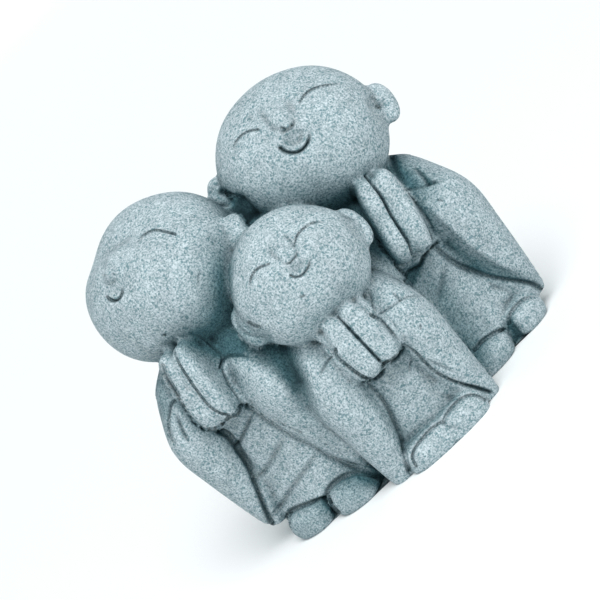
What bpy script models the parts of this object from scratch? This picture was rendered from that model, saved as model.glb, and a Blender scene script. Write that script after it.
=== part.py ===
"""Three small monks cast together as one piece: two grown figures and a child in front, hands together."""
import math

import bmesh
import bpy
import numpy as np
from mathutils import Matrix, Vector

# Overall sizes in metres. X runs to the viewer's right, Y to the back, Z up.
ADULT_SKULL_RADIUS = 0.0216
CHILD_SKULL_RADIUS = 0.0172
ADULT_ROBE_HEIGHT = 0.0620
CHILD_ROBE_HEIGHT = 0.0496
HAND_HALF_WIDTH = 0.0032
HAND_HALF_DEPTH = 0.0052
CHILD_HAND_HALF_DEPTH = 0.0042
CHILD_HAND_HALF_WIDTH = 0.0034
ADULT_HAND_HALF_HEIGHT = 0.0122
CHILD_HAND_HALF_HEIGHT = 0.0094
EAR_HALF_WIDTH = 0.0038
EAR_HALF_THICKNESS = 0.0023
EAR_HALF_HEIGHT = 0.0064
EAR_SUNK = 0.0010
EAR_SET_BACK = 0.0004
EAR_DROP = 0.0010
LEFT_SLEEVE_TIP = 0.0065
RIGHT_SLEEVE_TIP = 0.0035
CHILD_SLEEVE_TIP = -0.0020
VOXEL = 0.00062
CREVICE_FILL = 0.0007
SMOOTHING_PASSES = 3
FACE_BUDGET = 9600
BASE_CUT_DEPTH = 0.0200
BASE_CUT_WIDTH = 0.2000

# How squarely each rounded form fills its corners: two is a plain ball.
EAR_FULLNESS = 2.2
CHEST_FULLNESS = 2.3
FOOT_FULLNESS = 2.5
HAND_FULLNESS = 3.2
# Turns in degrees: an ear out from the cheek, a foot out from its fellow, the hands back from the upright.
EAR_FLARE = 20.0
FOOT_SPLAY = 8.0
HANDS_LIFT = 6.0
# How far each hand is from the middle of the pair, and how wide it is, as shares of the hand's half width.
HAND_OUT = 0.90
HAND_SWELL = 1.05

# Each cheek is a ball beside the skull, as shares of the skull's radius.
CHEEK_OUT = 0.357
CHEEK_AHEAD = 0.030
CHEEK_DOWN = 0.053
CHEEK_RADIUS = 0.809
CHEEK_LENGTH = 0.925
LOBE_BLEND = 14.0

# Swellings and hollows of a face: degrees across, degrees up, spread across, spread up, share of radius.
BROW = (0.0, 23.0, 42.0, 12.0, -0.150)
FOREHEAD = (0.0, 26.0, 66.0, 22.0, -0.140)
NOSE = (0.0, -7.5, 6.5, 4.5, 0.130)
NOSE_RIDGE = (0.0, 4.0, 5.0, 9.0, 0.070)
MOUTH_HOLLOW = (0.0, -19.0, 9.0, 6.0, -0.026)
# The crown's swelling: degrees up and its spread.
CROWN = (75.0, 38.0)

# Robe sections as shares of the robe's height: level, half width, front reach, back reach.
ROBE_ROWS = (
    (-0.050, 0.312, 0.155, 0.270),
    (0.000, 0.318, 0.165, 0.280),
    (0.130, 0.330, 0.172, 0.292),
    (0.320, 0.352, 0.180, 0.300),
    (0.560, 0.368, 0.200, 0.300),
    (0.760, 0.340, 0.200, 0.275),
    (0.900, 0.255, 0.170, 0.225),
    (1.000, 0.150, 0.120, 0.140),
)
# The inner sleeves of the two grown monks run together into one mass between their backs.
JOIN_PLACE = (0.0016, 0.0085)
JOIN_HEIGHT = 0.0800
JOIN_ROWS = (
    (-0.050, 0.150, 0.135, 0.105),
    (0.000, 0.150, 0.135, 0.105),
    (0.350, 0.160, 0.135, 0.110),
    (0.600, 0.160, 0.125, 0.110),
    (0.800, 0.125, 0.090, 0.090),
    (0.930, 0.075, 0.055, 0.060),
    (1.000, 0.030, 0.025, 0.030),
)
# The stone behind each pair of hands, as shares of their height: back offset, half width, depth, half height.
CHEST = (0.42, 0.58, 0.50, 0.90)

# Sleeve sections as shares of the robe's height: level, side offset, forward offset, half width, half depth.
SLEEVE_ROWS = (
    (0.990, 0.150, -0.010, 0.075, 0.100),
    (0.900, 0.214, 0.018, 0.120, 0.160),
    (0.785, 0.250, 0.050, 0.138, 0.200),
    (0.680, 0.266, 0.092, 0.155, 0.205),
    (0.575, 0.280, 0.112, 0.150, 0.190),
    (0.430, 0.283, 0.112, 0.135, 0.164),
    (0.310, 0.290, 0.105, 0.120, 0.142),
    (0.200, 0.298, 0.098, 0.103, 0.120),
    (0.100, 0.312, 0.090, 0.078, 0.090),
    (0.030, 0.322, 0.088, 0.050, 0.060),
)
# How high the middle of a foot is, as a share of the robe's height.
FOOT_LEVEL = 0.052

# How each monk stands, in metres and degrees. In each pair the one on the viewer's left comes first.
# Sleeves: spread of the whole and width of its inner half, as shares of the plain sleeve.
# Feet: side offset, forward offset, half width, half length and half height, as shares of the robe's height.
# Ears: how far each is set in and dropped. Crown: a share of the skull's radius.
# Brow and forehead: strength of the hollow. Taper: how much narrower the hands are at the fingertips.
FIGURES = {
    "left": {
        "stand": (-0.0262, 0.0094), "turn": -31.0, "robe": ADULT_ROBE_HEIGHT, "sleeve_tip": LEFT_SLEEVE_TIP,
        "sleeves": ((0.92, 1.00), (0.92, 1.30)),
        "feet": ((0.122, 0.126, 0.118, 0.122, 0.084), (0.132, 0.140, 0.128, 0.122, 0.084)),
        "head": (-0.0206, 0.0110, 0.0772), "head_turn": -37.5, "head_lift": 42.8, "head_lean": 3.3,
        "skull": ADULT_SKULL_RADIUS * 1.05, "brow": 0.40, "forehead": 1.0, "crown": 0.0,
        "ears": ((0.0, 0.0), (0.0, 0.0)),
        "hands": (-0.0338, -0.0060, 0.0530), "hands_turn": -34.0, "hands_lean": 2.0, "taper": 0.15,
    },
    "right": {
        "stand": (0.0280, 0.0112), "turn": 18.0, "robe": ADULT_ROBE_HEIGHT, "sleeve_tip": RIGHT_SLEEVE_TIP,
        "sleeves": ((0.95, 1.10), (0.95, 1.32)),
        "feet": ((0.097, 0.126, 0.138, 0.122, 0.085), (0.176, 0.122, 0.100, 0.118, 0.084)),
        "head": (0.0280, 0.0110, 0.0777), "head_turn": -5.0, "head_lift": 32.0, "head_lean": 9.7,
        "skull": ADULT_SKULL_RADIUS * 1.01, "brow": 0.40, "forehead": 0.40, "crown": 0.0,
        "ears": ((0.0, -0.0010), (0.0, 0.0012)),
        "hands": (0.0324, -0.0065, 0.0506), "hands_turn": -4.0, "hands_lean": 12.0, "taper": 0.15,
    },
    "child": {
        "stand": (0.0040, -0.0095), "turn": 0.0, "robe": CHILD_ROBE_HEIGHT, "sleeve_tip": CHILD_SLEEVE_TIP,
        "sleeves": ((1.00, 1.00), (0.93, 1.15)),
        "feet": ((0.116, 0.148, 0.146, 0.150, 0.092), (0.116, 0.148, 0.146, 0.150, 0.092)),
        "head": (0.0044, -0.0130, 0.0583), "head_turn": 2.0, "head_lift": 29.0, "head_lean": 0.3,
        "skull": CHILD_SKULL_RADIUS * 1.01, "brow": 0.40, "forehead": 0.40, "crown": 0.055,
        "ears": ((0.0011, 0.0004), (0.0011, 0.0004)),
        "hands": (0.0040, -0.0245, 0.0372), "hands_turn": 0.0, "hands_lean": 0.0, "taper": 0.32,
    },
}


def turned(turn=0.0, lift=0.0, lean=0.0):
    """A rotation: turned about the upright, leaned sideways, then lifted to look up (degrees)."""
    upright = Matrix.Rotation(math.radians(turn), 4, "Z")
    sideways = Matrix.Rotation(math.radians(lean), 4, "Y")
    nod = Matrix.Rotation(math.radians(-lift), 4, "X")
    return upright @ sideways @ nod


def curve_rows(rows, count):
    """Sections in between the given ones, on a smooth curve through all of them."""
    rows = np.array(rows, dtype=float)
    padded = np.vstack([2.0 * rows[0] - rows[1], rows, 2.0 * rows[-1] - rows[-2]])
    result = []
    for step in np.linspace(0.0, len(rows) - 1.000001, count):
        index = int(step)
        t = step - index
        a, b, c, d = padded[index:index + 4]
        curve = (2 * b, c - a, 2 * a - 5 * b + 4 * c - d, 3 * b - a - 3 * c + d)
        result.append(0.5 * sum(term * t ** power for power, term in enumerate(curve)))
    return result


def add_rings(mesh, rings):
    """Skins a closed body over a stack of rings and closes both ends."""
    loops = [[mesh.verts.new(point) for point in ring] for ring in rings]
    size = len(loops[0])
    for lower, upper in zip(loops, loops[1:]):
        for side in range(size):
            after = (side + 1) % size
            mesh.faces.new((lower[side], lower[after], upper[after], upper[side]))
    mesh.faces.new(list(reversed(loops[0])))
    mesh.faces.new(loops[-1])


def add_ball(mesh, place, radii, fullness, taper=0.0):
    """A rounded body: a sphere stretched to the radii, fuller at its corners and narrower towards its top."""
    made = bmesh.ops.create_uvsphere(mesh, u_segments=32, v_segments=20, radius=1.0)
    for vert in made["verts"]:
        x, y, z = vert.co
        full = (abs(x) ** fullness + abs(y) ** fullness + abs(z) ** fullness) ** (1.0 / fullness)
        x *= 1.0 - taper * (max(z, 0.0) / full) ** 2
        vert.co = place @ Vector((x * radii[0] / full, y * radii[1] / full, z * radii[2] / full))


def face_share(across, up, figure):
    """How far the head stands out at an angle, as a share of its plain radius."""
    share = 1.0 + figure["crown"] * math.exp(-((up - CROWN[0]) / CROWN[1]) ** 2)
    strengths = (figure["brow"], figure["forehead"], 1.0, 1.0, 1.0)
    for form, strength in zip((BROW, FOREHEAD, NOSE, NOSE_RIDGE, MOUTH_HOLLOW), strengths):
        middle, level, wide, high, height = form
        share += strength * height * math.exp(-((across - middle) / wide) ** 2 - ((up - level) / high) ** 2)
    return share


def reach(way, middle, radii):
    """How far a ball off the centre reaches along a direction from the centre."""
    scaled = Vector((way[0] / radii[0], way[1] / radii[1], way[2] / radii[2]))
    offset = Vector((middle[0] / radii[0], middle[1] / radii[1], middle[2] / radii[2]))
    square = scaled.dot(scaled)
    along = scaled.dot(offset)
    return (along + math.sqrt(along * along - square * (offset.dot(offset) - 1.0))) / square


def add_head(mesh, place, figure):
    """A bald round head, fuller at the cheeks, with a small nose and two ears."""
    skull = figure["skull"]
    made = bmesh.ops.create_uvsphere(mesh, u_segments=64, v_segments=44, radius=1.0)
    cheek = (CHEEK_RADIUS, CHEEK_RADIUS, CHEEK_LENGTH)
    for vert in made["verts"]:
        way = vert.co.normalized()
        reaches = [reach(way, (0.0, 0.0, 0.0), (1.0, 1.0, 1.0))]
        for side in (-1.0, 1.0):
            reaches.append(reach(way, (side * CHEEK_OUT, -CHEEK_AHEAD, -CHEEK_DOWN), cheek))
        blended = (sum(value ** LOBE_BLEND for value in reaches) / 3.0) ** (1.0 / LOBE_BLEND)
        across = math.degrees(math.atan2(way[0], -way[1]))
        up = math.degrees(math.asin(max(-1.0, min(1.0, way[2]))))
        vert.co = place @ (way * (blended * face_share(across, up, figure) * skull))
    for side, (inset, drop) in zip((-1.0, 1.0), figure["ears"]):
        out = skull * (CHEEK_OUT + CHEEK_RADIUS) - EAR_SUNK - inset
        ear = place @ Matrix.Translation((side * out, EAR_SET_BACK, -EAR_DROP - drop))
        ear = ear @ turned(side * EAR_FLARE)
        add_ball(mesh, ear, (EAR_HALF_WIDTH, EAR_HALF_THICKNESS, EAR_HALF_HEIGHT), EAR_FULLNESS)


def add_robe(mesh, place, height, rows):
    """The body of a robe: a stack of ovals, flatter in front than behind."""
    rings = []
    for level, wide, front, back in curve_rows(rows, 30):
        ring = []
        for angle in np.linspace(0.0, 2.0 * math.pi, 48, endpoint=False):
            x = wide * math.cos(angle)
            y = math.sin(angle) * (back if math.sin(angle) > 0.0 else front)
            ring.append(place @ Vector((x * height, y * height, level * height)))
        rings.append(ring)
    add_rings(mesh, rings)


def add_sleeve(mesh, place, height, side, tip, spread, inner):
    """One wide sleeve: from the shoulder over the bent arm, hanging down to a tip, fuller on its inner half."""
    rings = []
    top = SLEEVE_ROWS[0][0]
    low = SLEEVE_ROWS[-1][0]
    for level, out, ahead, wide, deep in curve_rows(SLEEVE_ROWS, 36):
        drop = (level - low) / (top - low)
        z = tip + (top * height - tip) * drop
        ring = []
        for angle in np.linspace(0.0, 2.0 * math.pi, 40, endpoint=False):
            across = math.cos(side * angle)
            x = side * spread * (out + wide * across * (inner if across < 0.0 else 1.0))
            y = -ahead + deep * math.sin(angle) * side
            ring.append(place @ Vector((x * height, y * height, z)))
        rings.append(ring[::-1] if side > 0 else ring)
    add_rings(mesh, rings)


def add_feet(mesh, place, height, feet):
    """Two bare feet side by side under the hem."""
    for side, shares in zip((-1.0, 1.0), feet):
        out, ahead, wide, long, high = (share * height for share in shares)
        foot = place @ Matrix.Translation((side * out, -ahead, FOOT_LEVEL * height))
        add_ball(mesh, foot @ turned(side * FOOT_SPLAY), (wide, long, high), FOOT_FULLNESS)


def add_hands(mesh, place, wide, deep, high, taper):
    """Two hands pressed together, fingers up, with a groove between them and the chest behind."""
    chest = place @ Matrix.Translation((0.0, CHEST[0] * high, 0.0))
    add_ball(mesh, chest, (CHEST[1] * high, CHEST[2] * high, CHEST[3] * high), CHEST_FULLNESS)
    for side in (-1.0, 1.0):
        hand = place @ Matrix.Translation((side * wide * HAND_OUT, 0.0, 0.0))
        add_ball(mesh, hand, (wide * HAND_SWELL, deep, high), HAND_FULLNESS, taper)


def add_figure(mesh, figure):
    """One whole monk: robe, sleeves, feet, hands and head."""
    height = figure["robe"]
    stand = Matrix.Translation((figure["stand"][0], figure["stand"][1], 0.0)) @ turned(figure["turn"])
    add_robe(mesh, stand, height, ROBE_ROWS)
    for side, (spread, inner) in zip((-1.0, 1.0), figure["sleeves"]):
        add_sleeve(mesh, stand, height, side, figure["sleeve_tip"], spread, inner)
    add_feet(mesh, stand, height, figure["feet"])
    hands = Matrix.Translation(figure["hands"])
    hands = hands @ turned(figure["hands_turn"], HANDS_LIFT, figure["hands_lean"])
    size = (HAND_HALF_WIDTH, HAND_HALF_DEPTH, ADULT_HAND_HALF_HEIGHT)
    if height <= CHILD_ROBE_HEIGHT:
        size = (CHILD_HAND_HALF_WIDTH, CHILD_HAND_HALF_DEPTH, CHILD_HAND_HALF_HEIGHT)
    add_hands(mesh, hands, *size, figure["taper"])
    head = Matrix.Translation(figure["head"])
    head = head @ turned(figure["head_turn"], figure["head_lift"], figure["head_lean"])
    add_head(mesh, head, figure)


def stone_material():
    """Rough grey-green cast stone."""
    material = bpy.data.materials.new("cast_stone")
    material.use_nodes = True
    shader = material.node_tree.nodes["Principled BSDF"]
    shader.inputs["Base Color"].default_value = (0.31, 0.40, 0.42, 1.0)
    shader.inputs["Roughness"].default_value = 0.95
    shader.inputs["Metallic"].default_value = 0.0
    return material


def add_fuse(statue, name):
    """Makes one skin round all that overlaps."""
    fuse = statue.modifiers.new(name, "REMESH")
    fuse.mode = "VOXEL"
    fuse.voxel_size = VOXEL
    fuse.use_smooth_shade = True


def add_swell(statue, name, amount):
    """Moves the whole skin out, or in where the amount is negative."""
    swell = statue.modifiers.new(name, "DISPLACE")
    swell.direction = "NORMAL"
    swell.mid_level = 0.0
    swell.strength = amount


def clear_scene():
    """Empties the scene of everything it opened with."""
    for item in list(bpy.data.objects):
        bpy.data.objects.remove(item, do_unlink=True)


def make_cutter(collection):
    """A slab below the ground that trims the underside flat."""
    mesh = bpy.data.meshes.new("ground_cut")
    body = bmesh.new()
    bmesh.ops.create_cube(body, size=1.0)
    for vert in body.verts:
        vert.co.x *= BASE_CUT_WIDTH
        vert.co.y *= BASE_CUT_WIDTH
        vert.co.z = (vert.co.z - 0.5) * BASE_CUT_DEPTH
    body.to_mesh(mesh)
    body.free()
    cutter = bpy.data.objects.new("ground_cut", mesh)
    cutter.display_type = "WIRE"
    cutter.hide_render = True
    collection.objects.link(cutter)
    return cutter


def main():
    clear_scene()
    shown = bpy.data.collections.new("three_monks")
    guides = bpy.data.collections.new("guides")
    bpy.context.scene.collection.children.link(shown)
    bpy.context.scene.collection.children.link(guides)
    body = bmesh.new()
    for figure in FIGURES.values():
        add_figure(body, figure)
    add_robe(body, Matrix.Translation((JOIN_PLACE[0], JOIN_PLACE[1], 0.0)), JOIN_HEIGHT, JOIN_ROWS)
    bmesh.ops.recalc_face_normals(body, faces=body.faces)
    mesh = bpy.data.meshes.new("three_monks")
    body.to_mesh(mesh)
    body.free()
    statue = bpy.data.objects.new("three_monks", mesh)
    statue.data.materials.append(stone_material())
    shown.objects.link(statue)
    # The forms are fused, then swollen, fused again and shrunk back, which closes the narrowest crevices.
    add_fuse(statue, "fuse")
    add_swell(statue, "swell", CREVICE_FILL)
    add_fuse(statue, "fuse_swollen")
    add_swell(statue, "shrink", -CREVICE_FILL)
    add_fuse(statue, "fuse_again")
    settle = statue.modifiers.new("settle", "SMOOTH")
    settle.factor = 0.5
    settle.iterations = SMOOTHING_PASSES
    bpy.context.view_layer.update()
    graph = bpy.context.evaluated_depsgraph_get()
    faces = sum(len(face.vertices) - 2 for face in statue.evaluated_get(graph).data.polygons)
    thin = statue.modifiers.new("thin", "DECIMATE")
    thin.ratio = FACE_BUDGET / faces
    trim = statue.modifiers.new("trim", "BOOLEAN")
    trim.operation = "DIFFERENCE"
    trim.solver = "EXACT"
    trim.object = make_cutter(guides)
    bpy.context.view_layer.update()
    graph = bpy.context.evaluated_depsgraph_get()
    made = statue.evaluated_get(graph).data
    count = sum(len(face.vertices) - 2 for face in made.polygons)
    low = [min(v.co[i] for v in made.vertices) for i in range(3)]
    high = [max(v.co[i] for v in made.vertices) for i in range(3)]
    print("triangles", count, "low", [round(v, 6) for v in low], "high", [round(v, 6) for v in high])
    # The origin is the middle of the footprint's bounding box, on the ground.
    statue.location = (-0.5 * (low[0] + high[0]), -0.5 * (low[1] + high[1]), 0.0)
    bpy.context.view_layer.update()


main()
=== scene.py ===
import math
from typing import NamedTuple

import bpy
import numpy as np
from bpy.props import FloatProperty, FloatVectorProperty, IntProperty, PointerProperty
from bpy.types import Operator, Panel, PropertyGroup
from mathutils import Matrix, Vector
from mathutils.bvhtree import BVHTree


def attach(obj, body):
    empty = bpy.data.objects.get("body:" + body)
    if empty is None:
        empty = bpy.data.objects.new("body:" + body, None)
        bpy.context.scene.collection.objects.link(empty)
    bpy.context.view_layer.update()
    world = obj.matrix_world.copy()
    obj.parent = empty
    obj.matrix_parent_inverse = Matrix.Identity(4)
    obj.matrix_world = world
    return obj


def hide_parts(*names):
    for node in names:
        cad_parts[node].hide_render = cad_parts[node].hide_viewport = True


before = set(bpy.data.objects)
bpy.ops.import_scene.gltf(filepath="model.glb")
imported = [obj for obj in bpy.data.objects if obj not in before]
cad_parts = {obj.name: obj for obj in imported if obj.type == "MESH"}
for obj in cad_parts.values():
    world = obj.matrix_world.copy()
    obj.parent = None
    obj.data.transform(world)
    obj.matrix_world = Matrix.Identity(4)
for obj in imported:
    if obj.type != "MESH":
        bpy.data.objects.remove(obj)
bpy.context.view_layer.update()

bl_info = {
    "name": "Three small monks in cast stone",
    "version": (1, 0, 0),
    "blender": (4, 5, 0),
    "location": "3D View > Sidebar > Monks",
    "description": "Models a cast stone group of two grown monks and a child, and the stage it stands on",
    "category": "Object",
}

PIECE = "monk_group"

# The layout is drawn round the middle of the picture, and then moved onto the footprint's middle.
LAYOUT_SHIFT = Vector((-0.001118, -0.001763, 0.0))

# The front view that the carving lines are laid out on: one unit is 0.262 mm at the statue's middle.
VIEW_UNIT = 0.000262
VIEW_DISTANCE = 0.5
VIEW_HEIGHT = 0.05
# The nearest stone is found in square cells of the view, and what lies this little behind it is seen too.
SIGHT_CELL = 2.0
SIGHT_SPARE = 0.0016
SIGHT_SLANT = 0.02
FAR_OFF = 1e9
# A cut's path has a point at every step. The stone's depth is read within reach of it, smoothed over a span.
PATH_STEP = 0.6
LEVEL_REACH = 3.0
LEVEL_SPAN = 13
LEVEL_PERCENTILE = 35
# A cut stays on stone within this depth of its own line, counted from a little behind it.
SAME_SURFACE = 0.007
SURFACE_LEAN = 0.0021
# Cuts under this width, in millimetres, get finer faces.
FINE_WIDTH = 1.5

# The painted shade grows from none to full between two sinkings in millimetres, or two shut-off shares of the
# sky.
SUNK_RANGE = (0.04, 0.40)
SHUT_RANGE = (0.13, 0.80)
# Stone that faces down gets this share of painted shade, from the first slope to the second.
UNDERSIDE_SHADE = 0.12
UNDER_RANGE = (0.15, 0.95)
# A cut's groove gets full painted shade where it is this many times as deep as wide.
FULL_GROOVE_SHADE = 2.2
# The rays that feel for stone round each corner, how far they reach, and how far off the stone they start.
SKY_RAYS = 20
SKY_REACH = 0.032
RAY_LIFT = 0.0003
# The underside is level where it is within this of the ground.
FLAT_WITHIN = 0.00002

# The stage, in metres and degrees: the floor and its backdrop, the lights and the camera's picture.
FLOOR_SIZE = 60.0
FLOOR_GAP = 0.00005
BACKDROP_HEIGHT = 12.0
KEY_FROM = (0.08, -0.65, 1.02)
KEY_SOFTNESS = 45.0
FRONT_PLACE = (0.03, -0.30, 0.26)
FRONT_SIZE = 0.18
SENSOR = 36.0
PICTURE_WIDTH = 600.0

# Robe sections as shares of the robe's height: level, half width, front reach, back reach.
ROBE_ROWS = (
    (-0.050, 0.312, 0.155, 0.270),
    (0.000, 0.318, 0.165, 0.280),
    (0.130, 0.330, 0.172, 0.292),
    (0.320, 0.352, 0.180, 0.300),
    (0.560, 0.368, 0.200, 0.300),
    (0.760, 0.340, 0.200, 0.275),
    (0.900, 0.255, 0.170, 0.225),
    (1.000, 0.150, 0.120, 0.140),
)
JOIN_PLACE = (0.0016, 0.0085)
JOIN_HEIGHT = 0.0800
JOIN_ROWS = (
    (-0.050, 0.150, 0.135, 0.105),
    (0.000, 0.150, 0.135, 0.105),
    (0.350, 0.160, 0.135, 0.110),
    (0.600, 0.160, 0.125, 0.110),
    (0.800, 0.125, 0.090, 0.090),
    (0.930, 0.075, 0.055, 0.060),
    (1.000, 0.030, 0.025, 0.030),
)
# Sleeve sections as shares of the robe's height: level, side offset, forward offset, half width, half depth.
SLEEVE_ROWS = (
    (0.990, 0.150, -0.010, 0.075, 0.100),
    (0.900, 0.214, 0.018, 0.120, 0.160),
    (0.785, 0.250, 0.050, 0.138, 0.200),
    (0.680, 0.266, 0.092, 0.155, 0.205),
    (0.575, 0.280, 0.112, 0.150, 0.190),
    (0.430, 0.283, 0.112, 0.135, 0.164),
    (0.310, 0.290, 0.105, 0.120, 0.142),
    (0.200, 0.298, 0.098, 0.103, 0.120),
    (0.100, 0.312, 0.090, 0.078, 0.090),
    (0.030, 0.322, 0.088, 0.050, 0.060),
)
# How high the middle of a foot is, as a share of the robe's height.
FOOT_LEVEL = 0.052
# Each cheek is a ball beside the skull, as shares of the skull's radius.
CHEEK_OUT = 0.357
CHEEK_AHEAD = 0.030
CHEEK_DOWN = 0.053
CHEEK_RADIUS = 0.809
CHEEK_LENGTH = 0.925
LOBE_BLEND = 14.0
# Swellings and hollows of a face: degrees across, degrees up, spread across, spread up, share of radius.
BROW = (0.0, 23.0, 42.0, 12.0, -0.150)
FOREHEAD = (0.0, 26.0, 66.0, 22.0, -0.140)
NOSE = (0.0, -7.5, 6.5, 4.5, 0.130)
NOSE_RIDGE = (0.0, 4.0, 5.0, 9.0, 0.070)
# The crown's swelling: degrees up and its spread.
CROWN = (75.0, 38.0)
# The hollow of each temple: degrees across, degrees up and its two spreads.
TEMPLES = (90.0, 40.0, 48.0, 22.0)
MOUTH_HOLLOW = (0.0, -19.0, 9.0, 6.0, -0.026)
# Feet turn out, hands lift and stand a little apart, and the hands' backs swell (degrees and shares).
FOOT_SPLAY = 8.0
HANDS_LIFT = 6.0
HAND_OUT = 0.90
HAND_SWELL = 1.05
HAND_FULLNESS = 3.2
# Ears: sunk into the cheek, set back and down from its middle, half sizes, turn and fullness.
EAR_SUNK = 0.0010
EAR_SET_BACK = 0.0004
EAR_DROP = 0.0010
EAR_SIZE = (0.0038, 0.0023, 0.0064)
EAR_FLARE = 20.0
EAR_FULLNESS = 2.2

# How each monk stands: place, turn, sleeves, feet, ears, head and hands, in metres and degrees. Sleeves are
# spread and inner width, feet are shares of the robe's height, and the chest is shares of the hands' height.
MONKS = {
    "left": {
        "stand": (-0.0262, 0.0094), "turn": -31.0, "sleeve_tip": 0.0065,
        "sleeves": ((0.92, 1.00), (0.92, 1.30)),
        "feet": ((0.122, 0.126, 0.118, 0.122, 0.084), (0.132, 0.140, 0.128, 0.122, 0.084)),
        "foot_fullness": 2.5, "chest": (0.42, 0.55, 0.50, 0.90), "chest_fullness": 2.3,
        "head": (-0.0206, 0.0110, 0.0772), "head_turn": -37.5, "head_lift": 42.8, "head_lean": 3.3,
        "brow": 0.40, "forehead": 1.0, "crown": 0.0, "temples": 0.0, "ears": ((0.0, 0.0), (0.0, 0.0)),
        "hands": (-0.0338, -0.0060, 0.0530), "hands_turn": -34.0, "hands_lean": 2.0,
        "hand_size": (0.0032, 0.0052, 0.0122), "taper": 0.15,
    },
    "right": {
        "stand": (0.0280, 0.0112), "turn": 18.0, "sleeve_tip": 0.0035,
        "sleeves": ((0.95, 1.10), (0.95, 1.32)),
        "feet": ((0.083, 0.126, 0.138, 0.122, 0.085), (0.170, 0.122, 0.108, 0.118, 0.084)),
        "foot_fullness": 2.5, "chest": (0.42, 0.55, 0.50, 0.90), "chest_fullness": 2.3,
        "head": (0.0280, 0.0110, 0.0777), "head_turn": -5.0, "head_lift": 32.0, "head_lean": 9.7,
        "brow": 0.40, "forehead": 0.40, "crown": 0.0, "temples": 0.0, "ears": ((0.0, -0.0010), (0.0, 0.0012)),
        "hands": (0.0324, -0.0065, 0.0506), "hands_turn": -4.0, "hands_lean": 12.0,
        "hand_size": (0.0032, 0.0052, 0.0122), "taper": 0.15,
    },
    "child": {
        "stand": (0.0040, -0.0095), "turn": 0.0, "sleeve_tip": -0.0020,
        "sleeves": ((1.00, 1.00), (0.93, 1.15)),
        "feet": ((0.105, 0.148, 0.157, 0.150, 0.092), (0.105, 0.148, 0.157, 0.150, 0.092)),
        "foot_fullness": 3.6, "chest": (0.36, 0.90, 0.48, 1.02), "chest_fullness": 4.0,
        "head": (0.0044, -0.0130, 0.0583), "head_turn": 2.0, "head_lift": 29.0, "head_lean": 0.3,
        "brow": 0.40, "forehead": 0.40, "crown": 0.055, "temples": 0.030,
        "ears": ((0.0011, 0.0004), (0.0011, 0.0004)),
        "hands": (0.0040, -0.0245, 0.0372), "hands_turn": 0.0, "hands_lean": 0.0,
        "hand_size": (0.0034, 0.0042, 0.0094), "taper": 0.32,
    },
}


class Cut(NamedTuple):
    """A carved line: points on the front view, and sizes in millimetres.

    The groove is depth deep and two widths wide, and fades to a share of that at its start and end.
    Where lift is over zero, the stone to the left of the line's travel stands up in a cloth edge,
    sloping back over fade. Shade is painted shade over the line's width, or painted light below zero.
    The groove is also painted darker, the deeper it is for its width.
    """
    points: tuple
    width: float
    depth: float
    start: float = 0.3
    end: float = 0.3
    lift: float = 0.0
    fade: float = 3.0
    shade: float = 0.0
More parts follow.
